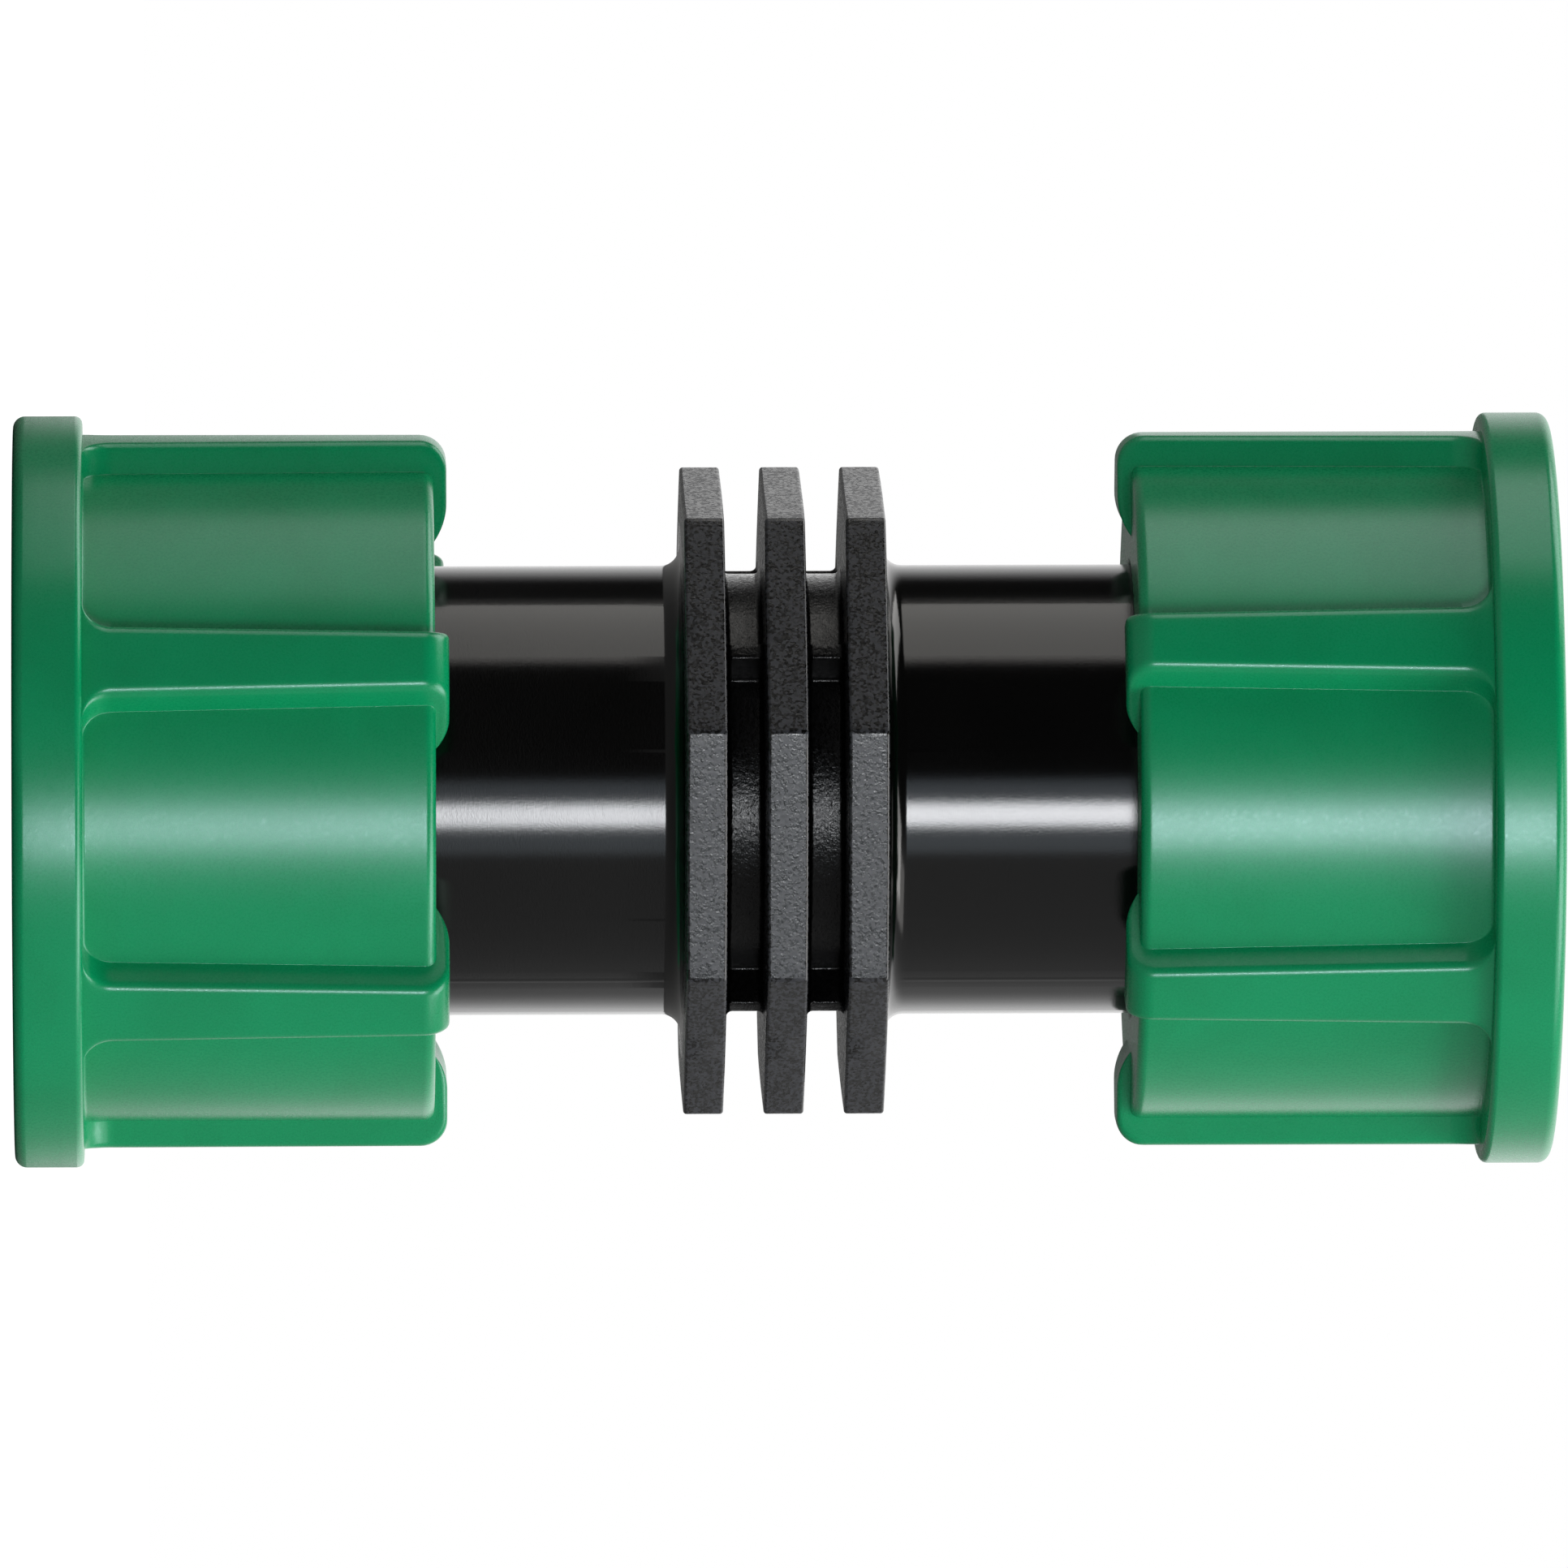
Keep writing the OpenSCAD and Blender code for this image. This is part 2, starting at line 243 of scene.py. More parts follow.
def nutRibColumns(row):
    (topR, topZ), (floorR, floorZ), t, (acrossT, alongZ), edge, root, slope = row
    c = nutColumns
    halfSector = math.pi / nut["ribCount"]
    height = math.hypot(topR - floorR, topZ - floorZ)
    down = ((floorR - topR) / height, (floorZ - topZ) / height) if height > 1e-6 else (0.0, 0.0)
    # The two roundings shrink with the rib where the hook runs out
    edge = min(edge, 0.45 * height)
    root = min(root, 0.45 * height)
    edgeMiddle = edge * (math.tan(slope) - 1 / math.cos(slope))
    rootMiddle = (height - root) * math.tan(slope) + root / math.cos(slope)

    def sidePoint(out, drop):
        return onNut(t + out * acrossT, topR + drop * down[0], topZ + out * alongZ + drop * down[1])

    points = []
    for i in range(c["top"] + 1):
        aside = (t + edgeMiddle * acrossT) * i / c["top"]
        points.append(onNut(aside, topR, topZ + edgeMiddle * alongZ))
    for a in np.linspace(0, math.pi / 2 - slope, c["edge"] + 1)[1:]:
        points.append(sidePoint(edgeMiddle + edge * math.sin(a), edge * (1 - math.cos(a))))
    wallStart = edge * (1 - math.sin(slope))
    wallEnd = height - root * (1 - math.sin(slope))
    for drop in np.linspace(wallStart, wallEnd, c["wall"] + 1)[1:]:
        points.append(sidePoint(drop * math.tan(slope), drop))
    for a in np.linspace(slope, math.pi / 2, c["root"] + 1)[1:]:
        points.append(sidePoint(rootMiddle - root * math.cos(a), height - root * (1 - math.sin(a))))
    start = math.atan2(points[-1][1], points[-1][0])
    for i in range(1, c["floor"] + 1):
        angle = start + (halfSector - start) * i / c["floor"]
        points.append((floorR * math.cos(angle), floorR * math.sin(angle), points[-1][2]))
    return points


def rimWallRows(cuspRow):
    # The side of the rim over one half window, from the root rounding up to the height of the ribs
    (topR, z), (floorR, _), t, _, _, root, _ = cuspRow
    c = nutColumns
    halfSector = math.pi / nut["ribCount"]
    profile = [(floorR + root * (1 - math.sin(a)), z + root * (1 - math.cos(a)))
               for a in np.radians(np.linspace(90, 0, c["root"] + 1))]
    profile += straightPoints((floorR + root, z), (topR, z), c["wall"])[1:]
    rows = []
    for r, height in profile:
        start = math.asin(t / r)
        angles = np.linspace(start, halfSector, c["floor"] + 1)
        rows.append(ringOfPoints(r, angles, height))
    return rows


def threadRadius(z, angles):
    # Sloping flanks between a flat root and a flat crest, fading out at the end of the thread
    n = nut
    phase = (z / n["threadPitch"] - angles / (2 * math.pi)) % 1.0
    fromRoot = 2 * np.abs(phase - 0.5)
    flat, softness = n["threadFlat"], n["threadSoftness"]
    flank = np.clip((1 - flat - fromRoot) / (1 - 2 * flat), 0, 1)
    groove = (1 - softness) * flank + softness * smoothStep(flank)
    fade = smoothStep((n["threadEnd"] - z) / n["threadRunOut"])
    bevel = np.maximum(n["mouthRadius"] - z, n["threadCrest"])
    return np.maximum(bevel, n["threadCrest"] + n["threadDepth"] * groove * fade)


def nutRevolvedRows(rimAngles, endAngles):
    # From the rim at the height of the ribs, round the rim and the mouth, through the inside
    # and out to the toes of the hooks
    n, steps = nut, insideRows
    barrelEnd = n["hookEnd"] - n["hookProud"]
    rim, back, front = n["rimRadius"], n["rimBackRound"], n["rimFrontRound"]
    outer = [(n["ribRadius"], n["rimWidth"])]
    outer += arcPoints((rim - back, n["rimWidth"] - back), back, 90, 0, steps["rimBack"])
    outer += straightPoints((rim, n["rimWidth"] - back), (rim, front), steps["rimWall"])[1:]
    outer += arcPoints((rim - front, front), front, 0, -90, steps["rimFront"])[1:]
    outer += straightPoints((rim - front, 0), (n["mouthRadius"], 0), steps["rimFace"])[1:-1]
    rows = [ringOfPoints(r, rimAngles, z) for r, z in outer]
    for z in np.linspace(0, n["threadEnd"], steps["thread"]):
        rows.append(ringOfPoints(threadRadius(z, rimAngles), rimAngles, z))
    relief = n["threadCrest"] + n["relief"]
    groove = ringLow.z / mm - n["grooveSide"]
    grooveEnd = ringHigh.z / mm + n["grooveSide"]
    rows.append(ringOfPoints(relief, rimAngles, n["threadEnd"] + n["relief"]))
    lip, ring = n["lipRadius"], n["grooveRadius"]
    inner = [(relief, n["shoulder"]), (lip, n["shoulder"]), (lip, groove)]
    inner += [(ring, groove), (ring, grooveEnd), (lip, grooveEnd)]
    edge = n["lipEdge"]
    inner += arcPoints((lip + edge, barrelEnd - edge), edge, 180, 90, steps["lip"])
    toeReach = math.sqrt(n["hookToe"] ** 2 - (n["hookToe"] - n["hookProud"]) ** 2)
    inner += [(n["hookToeStart"] - toeReach, barrelEnd)]
    rows += [ringOfPoints(r, endAngles, z) for r, z in inner]
    return rows


def fullAngles(halfAngles, count):
    # The angles of a whole round from those of a half sector
    sector = 2 * math.pi / count
    one = np.concatenate([halfAngles, sector - halfAngles[-2:0:-1]])
    return np.concatenate([one + sector * i for i in range(count)])


def buildNut(name, turn):
    parts = {"points": [], "faces": [], "finish": []}
    ribRows = nutRibRows()
    halfRows = np.array([nutRibColumns(row) for row in ribRows])
    addSheet(parts, wholeRound(halfRows, nut["ribCount"]), True)
    halfWindow = np.array(rimWallRows(ribRows[0]))
    window = wholeSector(halfWindow, nut["ribCount"])
    for i in range(nut["ribCount"]):
        addSheet(parts, turned(window, 2 * math.pi * i / nut["ribCount"]), False)
    # The revolved sheet takes over the columns of the two sheets that it meets
    topCount = nutColumns["top"] + 1
    rimHalf = np.concatenate([halfRows[0, :topCount], halfWindow[-1, 1:]])
    endHalf = np.concatenate([halfRows[-1, :topCount], halfRows[-1, -nutColumns["floor"]:]])
    rimAngles = fullAngles(np.arctan2(rimHalf[:, 1], rimHalf[:, 0]), nut["ribCount"])
    endAngles = fullAngles(np.arctan2(endHalf[:, 1], endHalf[:, 0]), nut["ribCount"])
    addSheet(parts, nutRevolvedRows(rimAngles, endAngles), True)
    return makePiece(name, parts, turn)


turnLower = Matrix.Rotation(math.radians(nut["turnLower"]), 4, "Z")
turnUpper = Matrix.Rotation(math.radians(nut["turnUpper"]), 4, "Z")
upsideDown = Matrix.Translation((0, 0, couplingLength * mm)) @ Matrix.Rotation(math.pi, 4, "X")
nutLowerPiece = buildNut("ribbed_nut_lower", turnLower)
nutUpperPiece = buildNut("ribbed_nut_upper", turnUpper @ upsideDown)
print("nuts done")


# Coupling body: two pipe ends and the pack of octagonal spanner plates with hub and webs.
# Lengths are in millimetres and angles in degrees

bodyLow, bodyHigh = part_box("coupling_body")
bodyShape = {
    "halfFlats": bodyHigh.x / mm,
    "plateCount": 3,
    "plate": 2.56,
    "plateDraft": 0.1,  # each face of a plate falls away this much towards its points
    "pitch": 4.75,  # from one plate to the next one
    "pointRound": 0.45,
    "plateEdge": 0.2,
    "hubRadius": 12.8,
    "hubFillet": 0.35,
    "webRadius": 15.2,
    "webHalf": 0.5,
    "webCorner": 0.15,
    "webRoot": 0.2,
    "pipeRadius": 13.3,
    "plateFillet": 1.1,
    "pipeBevel": 0.5,
    "grooveRadius": 12.4,
    "grooveSide": 0.1,
    "boreRadius": 10.3,
    "boreLip": 0.4,
    "seamHeight": 0.018,
    "seamWidth": 0.22,
    "seamAngle": -45,
}
octagonHalf = math.pi / 8  # half of the angle that one flat of an octagon spans
faceShares = (0.35, 0.7)  # where a plate's face has rows between the hub and the rim
webShare = 0.17  # the part of half a flat whose columns run into the web

# How many quads each stretch has: over one eighth of the round, and along the axis
bodyColumns = {"flat": 8, "corner": 4, "side": 7,
               "webRoot": 4, "webWall": 3, "webCorner": 3, "webTop": 2}
bodyRows = {"boreLip": 5, "pipe": 6, "plateFillet": 8, "plateEdge": 4, "hubFillet": 4}
glossyFinish, sandyFinish, hubFinish = 0, 1, 2


def plateOutline(inset):
    # One eighth of the octagon, from the middle of one flat to the middle of the next one
    b, c = bodyShape, bodyColumns
    flat = b["halfFlats"] - inset
    cornerRound = max(b["pointRound"] - inset, 0.05)
    cornerReach = (flat - cornerRound) / math.cos(octagonHalf)
    centre = cornerReach * np.array([math.cos(octagonHalf), math.sin(octagonHalf)])
    start = np.array([flat, 0.0])
    arc = [centre + cornerRound * np.array([math.cos(a), math.sin(a)])
           for a in np.linspace(0, 2 * octagonHalf, c["corner"] + 1)]
    end = flat * np.array([math.cos(2 * octagonHalf), math.sin(2 * octagonHalf)])
    webCount = c["webRoot"] + c["webWall"] + c["webCorner"] + c["webTop"]
    webStart = end + (arc[-1] - end) * webShare
    points = list(np.linspace(start, arc[0], c["flat"] + 1)[:-1])
    points += arc
    points += list(np.linspace(arc[-1], webStart, c["side"] + 1)[1:])
    points += list(np.linspace(webStart, end, webCount + 1)[1:])
    return np.array(points)


def gapOutline(offset, plateAngles):
    # The hub and one side of a web between two plates, for the same columns
    b, c = bodyShape, bodyColumns
    hub, half = b["hubRadius"] + offset, b["webHalf"] + offset
    root = b["webRoot"] - offset
    outer = b["webRadius"] + offset
    corner = b["webCorner"] + offset
    quarter = math.radians(45)
    rootTurn = math.asin((half + root) / (hub + root))
    hubCount = c["flat"] + c["corner"] + c["side"]
    hubAngles = plateAngles[:hubCount + 1] * (quarter - rootTurn) / plateAngles[hubCount]
    points = [hub * np.array([math.cos(a), math.sin(a)]) for a in hubAngles]
    along = np.array([math.cos(quarter), math.sin(quarter)])
    aside = np.array([math.sin(quarter), -math.cos(quarter)])
    rootCentre = (hub + root) * math.cos(rootTurn) * along + (half + root) * aside
    for a in np.linspace(rootTurn, math.radians(90), c["webRoot"] + 1)[1:]:
        points.append(rootCentre - root * (math.cos(a) * along + math.sin(a) * aside))
    wallStart = (hub + root) * math.cos(rootTurn)
    wallEnd = outer - corner
    for reach in np.linspace(wallStart, wallEnd, c["webWall"] + 1)[1:]:
        points.append(reach * along + half * aside)
    for a in np.linspace(0, math.radians(90), c["webCorner"] + 1)[1:]:
        reach, breadth = wallEnd + corner * math.sin(a), half - corner * (1 - math.cos(a))
        points.append(reach * along + breadth * aside)
    for i in range(1, c["webTop"] + 1):
        points.append(outer * along + (half - corner) * (1 - i / c["webTop"]) * aside)
    return np.array(points)


def atHeight(outline, height):
    return np.column_stack([outline, np.broadcast_to(height, len(outline))])


def plateFaceHeight(outline, base, direction):
    # The plates grow thinner towards their rim
    b = bodyShape
    reach = np.hypot(outline[:, 0], outline[:, 1])
    slope = b["plateDraft"] / (b["halfFlats"] / math.cos(octagonHalf) - b["hubRadius"])
    return base + direction * slope * np.maximum(reach - b["hubRadius"], 0)


def plateRows(base, innerStart, innerEnd):
    # Lower face, rounded edge, rim, rounded edge and upper face of one plate
    edge, top = bodyShape["plateEdge"], base + bodyShape["plate"]
    inset = plateOutline(edge)
    rows = []
    for share in faceShares:
        between = innerStart + (inset - innerStart) * share
        rows.append(atHeight(between, plateFaceHeight(between, base, 1)))
    lowRim = plateFaceHeight(inset, base, 1)
    highRim = plateFaceHeight(inset, top, -1)
    edgeSteps = [(plateOutline(edge * (1 - math.sin(a))), edge * (1 - math.cos(a)))
                 for a in np.radians(np.linspace(0, 90, bodyRows["plateEdge"] + 1))]
    rows += [atHeight(outline, lowRim + rise) for outline, rise in edgeSteps]
    rows += [atHeight(outline, highRim - rise) for outline, rise in edgeSteps[::-1]]
    for share in faceShares[::-1]:
        between = innerEnd + (inset - innerEnd) * share
        rows.append(atHeight(between, plateFaceHeight(between, top, -1)))
    return rows


def pipeProfile():
    # Outer side of the lower pipe end, from the bore lip to the foot of the first plate
    b, steps = bodyShape, bodyRows
    pipe, foot = b["pipeRadius"], bodyLow.z / mm
    grooveLow = ringLow.z / mm - b["grooveSide"]
    grooveHigh = ringHigh.z / mm + b["grooveSide"]
    packFoot = (couplingLength - (b["plateCount"] - 1) * b["pitch"] - b["plate"]) / 2
    lip, fillet = b["boreLip"], b["plateFillet"]
    points = arcPoints((b["boreRadius"] + lip, foot + lip), lip, 180, 270, steps["boreLip"])
    points += [(pipe - b["pipeBevel"], foot), (pipe, foot + b["pipeBevel"])]
    points += [(pipe, grooveLow), (b["grooveRadius"], grooveLow)]
    points += [(b["grooveRadius"], grooveHigh), (pipe, grooveHigh)]
    points += straightPoints((pipe, grooveHigh), (pipe, packFoot - fillet), steps["pipe"])[1:]
    filletMiddle = (pipe + fillet, packFoot - fillet)
    points += arcPoints(filletMiddle, fillet, 180, 90, steps["plateFillet"])[1:]
    return points, packFoot


def buildBody():
    b = bodyShape
    rimOutline = plateOutline(0)
    plateAngles = np.arctan2(rimOutline[:, 1], rimOutline[:, 0])
    profile, packFoot = pipeProfile()
    rows = [ringOfPoints(r, plateAngles, z) for r, z in profile]
    lowerPipeRows = len(rows)
    footOutline = rows[-1][:, :2]
    fillet = b["hubFillet"]
    filletSteps = [(fillet * (1 - math.sin(a)), fillet * (1 - math.cos(a)))
                   for a in np.radians(np.linspace(0, 90, bodyRows["hubFillet"] + 1))]
    filletFoot = gapOutline(fillet, plateAngles)
    gaps = []
    for i in range(b["plateCount"]):
        base = packFoot + i * b["pitch"]
        last = i == b["plateCount"] - 1
        lowerInner = footOutline if i == 0 else filletFoot
        upperInner = footOutline if last else filletFoot
        rows += plateRows(base, lowerInner, upperInner)
        if not last:
            top, nextBase = base + b["plate"], base + b["pitch"]
            gaps.append(len(rows))
            hubSteps = [(gapOutline(offset, plateAngles), rise) for offset, rise in filletSteps]
            rows += [atHeight(outline, top + rise) for outline, rise in hubSteps]
            rows += [atHeight(outline, nextBase - rise) for outline, rise in hubSteps[::-1]]
    upperPipeStart = len(rows)
    rows += [ringOfPoints(r, plateAngles, couplingLength - z) for r, z in profile[::-1]]
    rows.append(rows[0].copy())  # the bore closes the round
    whole = wholeRound(np.array(rows), 4)
    finishes = np.full(len(whole) - 1, glossyFinish)
    finishes[lowerPipeRows:upperPipeStart - 1] = sandyFinish
    for gapStart in gaps:
        finishes[gapStart:gapStart + 2 * len(filletSteps) - 1] = hubFinish
    lipRows, filletRows = bodyRows["boreLip"] + 3, bodyRows["plateFillet"]
    lowerPipe = range(lipRows, lowerPipeRows - filletRows)
    upperPipe = range(upperPipeStart + filletRows, len(whole) - lipRows - 1)
    addMouldSeam(whole, [*lowerPipe, *upperPipe])
    parts = {"points": [], "faces": [], "finish": []}
    addSheet(parts, whole, True, np.repeat(finishes, whole.shape[1]))
    return makePiece("moulded_body", parts)


def addMouldSeam(rows, pipeRows):
    # The fine line that the two halves of the mould leave along the pipe ends
    b = bodyShape
    tolerance = 0.01
    for ring in (rows[row] for row in pipeRows):
        radius = np.hypot(ring[:, 0], ring[:, 1])
        angle = np.arctan2(ring[:, 1], ring[:, 0])
        onPipe = np.abs(radius - b["pipeRadius"]) < tolerance
        for seam in np.radians([b["seamAngle"], b["seamAngle"] + 180]):
            away = np.abs((angle - seam + math.pi) % (2 * math.pi) - math.pi) * radius
            lift = 1 + b["seamHeight"] * np.clip(1 - away / b["seamWidth"], 0, 1) / radius
            ring[onPipe, :2] *= lift[onPipe, None]


bodyPiece = buildBody()
print("body done")


# Shader groups: each puts out only values that change over the surface

def newGroup(name, inputs, outputs):
    group = bpy.data.node_groups.new(name, "ShaderNodeTree")
    kind = "NodeSocketFloat"
    for label, value in inputs:
        socket = group.interface.new_socket(name=label, in_out="INPUT", socket_type=kind)
        socket.default_value = value
    for label in outputs:
        group.interface.new_socket(name=label, in_out="OUTPUT", socket_type=kind)
    return group, group.nodes.new("NodeGroupInput"), group.nodes.new("NodeGroupOutput")


def addNode(tree, kind, **settings):
    node = tree.nodes.new(kind)
    for name, value in settings.items():
        setattr(node, name, value)
    return node


def scaledPlace(tree, size):
    # The place on the object divided by a feature size in millimetres
    place = addNode(tree, "ShaderNodeTexCoord")
    inverse = addNode(tree, "ShaderNodeMath", operation="DIVIDE")
    inverse.inputs[0].default_value = 1 / mm
    scaled = addNode(tree, "ShaderNodeVectorMath", operation="SCALE")
    tree.links.new(size, inverse.inputs[1])
    tree.links.new(place.outputs["Object"], scaled.inputs[0])
    tree.links.new(inverse.outputs[0], scaled.inputs["Scale"])
    return scaled.outputs[0]


def addNoise(tree, place, scale, detail, distortion=0.0):
    noise = addNode(tree, "ShaderNodeTexNoise", noise_dimensions="3D")
    noise.inputs["Scale"].default_value = scale
    noise.inputs["Detail"].default_value = detail
    noise.inputs["Distortion"].default_value = distortion
    tree.links.new(place, noise.inputs["Vector"])
    return noise.outputs["Fac"]


def addMask(tree, value, low, high):
    # A soft step: 0 below the low value and 1 above the high one
    mask = addNode(tree, "ShaderNodeMapRange", interpolation_type="SMOOTHSTEP")
    mask.inputs["From Min"].default_value = low
    mask.inputs["From Max"].default_value = high
    tree.links.new(value, mask.inputs["Value"])
    return mask.outputs["Result"]


def makeSandGroup():
    # The spark-eroded texture of a mould face: rounded grains with finer noise on them
    inputs = [("Grain size", 0.25), ("Fine share", 0.4)]
    group, given, out = newGroup("sandTexture", inputs, ["Height", "Peaks", "Grains and painted glints"])
    place = scaledPlace(group, given.outputs["Grain size"])
    blend = addNode(group, "ShaderNodeMix", data_type="FLOAT")
    group.links.new(given.outputs["Fine share"], blend.inputs["Factor"])
    group.links.new(addNoise(group, place, 1.0, 1.5), blend.inputs["A"])
    group.links.new(addNoise(group, place, 2.7, 2.0), blend.inputs["B"])
    height = blend.outputs["Result"]
    # Each grain gets its own value; the black sanded finishes paint these grains paler and bluish,
    # partly their own scatter and partly painted glints
    cells = addNode(group, "ShaderNodeTexVoronoi", voronoi_dimensions="3D", feature="F1")
    cells.inputs["Scale"].default_value = 1.35
    group.links.new(place, cells.inputs["Vector"])
    group.links.new(height, out.inputs["Height"])
    group.links.new(addMask(group, height, 0.5, 0.72), out.inputs["Peaks"])
    group.links.new(addMask(group, cells.outputs["Color"], 0.3, 0.7), out.inputs["Grains and painted glints"])
    return group


def makeStreakGroup():
    # Fine drag lines along the axis, left as the piece is pushed out of its mould
    inputs = [("Streak width", 0.2), ("Streak length", 30.0)]
    group, given, out = newGroup("drawStreaks", inputs, ["Height"])
    place = scaledPlace(group, given.outputs["Streak width"])
    ratio = addNode(group, "ShaderNodeMath", operation="DIVIDE")
    lengthwise = addNode(group, "ShaderNodeCombineXYZ")
    lengthwise.inputs["X"].default_value = 1.0
    lengthwise.inputs["Y"].default_value = 1.0
    stretched = addNode(group, "ShaderNodeVectorMath", operation="MULTIPLY")
    group.links.new(given.outputs["Streak width"], ratio.inputs[0])
    group.links.new(given.outputs["Streak length"], ratio.inputs[1])
    group.links.new(ratio.outputs[0], lengthwise.inputs["Z"])
    group.links.new(place, stretched.inputs[0])
    group.links.new(lengthwise.outputs[0], stretched.inputs[1])
    group.links.new(addNoise(group, stretched.outputs[0], 1.0, 2.5), out.inputs["Height"])
    return group


def makeFlowGroup():
    # Broad soft clouds: flow of the plastic, handling and a trace of dust
    group, given, out = newGroup("flowClouds", [("Cloud size", 9.0)], ["Tone"])
    place = scaledPlace(group, given.outputs["Cloud size"])
    clouds = addNoise(group, place, 1.0, 3.0, 0.6)
    group.links.new(addMask(group, clouds, 0.3, 0.7), out.inputs["Tone"])
    return group


sandTexture, drawStreaks, flowClouds = makeSandGroup(), makeStreakGroup(), makeFlowGroup()


def placeSand(tree, v):
    return placeGroup(tree, sandTexture, {"Grain size": v["grain"], "Fine share": v["fineShare"]})


def placeStreaks(tree, v):
    sizes = {"Streak width": v["streak"], "Streak length": v["streakLength"]}
    return placeGroup(tree, drawStreaks, sizes)


def placeFlow(tree, v):
    return placeGroup(tree, flowClouds, {"Cloud size": v["cloud"]})


def placeGroup(tree, group, values):
    node = addNode(tree, "ShaderNodeGroup", node_tree=group)
    for label, value in values.items():
        node.inputs[label].default_value = value
    return node


def mixTone(tree, factor, low, high):
    # A value that runs from low to high with the given mask
    spread = addNode(tree, "ShaderNodeMapRange")
    spread.inputs["To Min"].default_value = low
    spread.inputs["To Max"].default_value = high
    tree.links.new(factor, spread.inputs["Value"])
    return spread.outputs["Result"]


def mixColour(tree, factor, low, high):
    blend = addNode(tree, "ShaderNodeMix", data_type="RGBA")
    blend.inputs["A"].default_value = (*low, 1)
    blend.inputs["B"].default_value = (*high, 1)
    tree.links.new(factor, blend.inputs["Factor"])
    return blend.outputs["Result"]


def addBump(tree, height, distance, below=None):
    bump = addNode(tree, "ShaderNodeBump")
    bump.inputs["Strength"].default_value = 1.0
    bump.inputs["Distance"].default_value = distance * mm
    tree.links.new(height, bump.inputs["Height"])
    if below:
        tree.links.new(below.outputs["Normal"], bump.inputs["Normal"])
    return bump


def newMaterial(name):
    material = bpy.data.materials.new(name)
    material.use_nodes = True
    shader = material.node_tree.nodes["Principled BSDF"]
    return material, material.node_tree, shader


def paintSurface(tree, shader, v, colourMask, roughMask):
    # The second colour and the second roughness show where the masks are 1
    colour = mixColour(tree, colourMask, v["colour"], v["maskedColour"])
    rough = mixTone(tree, roughMask, v["rough"], v["maskedRough"])
    tree.links.new(colour, shader.inputs["Base Color"])
    tree.links.new(rough, shader.inputs["Roughness"])


def roughenSurface(tree, shader, v, grain, streaks=None):
    lines = addBump(tree, streaks.outputs["Height"], v["streakDepth"]) if streaks else None
    grains = addBump(tree, grain.outputs["Height"], v["grainDepth"], lines)
    tree.links.new(grains.outputs["Normal"], shader.inputs["Normal"])


# Sizes and depths in the dictionaries of the materials are in millimetres

greenPlastic = {
    "colour": (0.0, 0.285, 0.102),
    "maskedColour": (0.0, 0.315, 0.115),
    "cloud": 8.0,
    "glint": (0.75, 0.94, 1.0),
    "shine": 0.68,
    "rough": 0.28,
    "maskedRough": 0.17,
    "grain": 0.17,
    "fineShare": 0.5,
    "grainDepth": 0.006,
    "streak": 0.5,
    "streakLength": 25.0,
    "streakDepth": 0.0008,
}


def makeGreenPlastic():
    v = greenPlastic
    material, tree, shader = newMaterial("greenMouldedPlastic")
    grain, streaks, flow = placeSand(tree, v), placeStreaks(tree, v), placeFlow(tree, v)
    paintSurface(tree, shader, v, flow.outputs["Tone"], grain.outputs["Peaks"])
    shader.inputs["Specular Tint"].default_value = (*v["glint"], 1)
    shader.inputs["Specular IOR Level"].default_value = v["shine"]
    roughenSurface(tree, shader, v, grain, streaks)
    return material


blackGloss = {
    "colour": (0.0004, 0.0004, 0.0004),
    "maskedColour": (0.001, 0.001, 0.001),
    "cloud": 6.0,
    "rough": 0.07,
    "maskedRough": 0.18,
    "grain": 0.13,
    "fineShare": 0.5,
    "grainDepth": 0.004,
    "streak": 0.3,
    "streakLength": 40.0,
    "streakDepth": 0.0004,
}


def makeBlackGloss():
    v = blackGloss
    material, tree, shader = newMaterial("blackGlossPlastic")
    grain, streaks, flow = placeSand(tree, v), placeStreaks(tree, v), placeFlow(tree, v)
    paintSurface(tree, shader, v, flow.outputs["Tone"], grain.outputs["Height"])
    roughenSurface(tree, shader, v, grain, streaks)
    return material


blackSand = {
    "colour": (0.0005, 0.0005, 0.0005),
    # Paler, bluish grains: partly the sanded plastic's own scatter, partly painted glints of the
    # lamps
    "maskedColour": (0.03, 0.032, 0.038),
    "shine": 0.62,
    "rough": 0.19,
    "maskedRough": 0.36,
    "grain": 0.23,
    "fineShare": 0.4,
    "grainDepth": 0.02,
}


hubSand = {
    "colour": (0.0004, 0.0004, 0.0004),
    # Faint paler, bluish grains: partly the plastic's own scatter, partly painted glints of the
    # lamps
    "maskedColour": (0.002, 0.002, 0.0023),
    "shine": 0.28,
    "rough": 0.09,
    "maskedRough": 0.25,
    "grain": 0.24,
    "fineShare": 0.35,
    "grainDepth": 0.045,
}


def makeBlackSand(name, v):
    material, tree, shader = newMaterial(name)
    grain = placeSand(tree, v)
    # Random grains are painted paler and made rougher: the paler colour is partly their own scatter
    # and partly painted glints
    paintSurface(tree, shader, v, grain.outputs["Grains and painted glints"], grain.outputs["Grains and painted glints"])
    shader.inputs["Specular IOR Level"].default_value = v["shine"]
    roughenSurface(tree, shader, v, grain)
    return material


whiteAcetal = {
    "colour": (0.78, 0.76, 0.7),
    "maskedColour": (0.85, 0.84, 0.79),
    "cloud": 4.0,
    "rough": 0.3,
    "maskedRough": 0.42,
    "grain": 0.15,
    "fineShare": 0.5,
    "grainDepth": 0.004,
}


def makeWhiteAcetal():
    v = whiteAcetal
    material, tree, shader = newMaterial("whiteAcetal")
    grain, flow = placeSand(tree, v), placeFlow(tree, v)
    paintSurface(tree, shader, v, flow.outputs["Tone"], flow.outputs["Tone"])
    roughenSurface(tree, shader, v, grain)
    return material


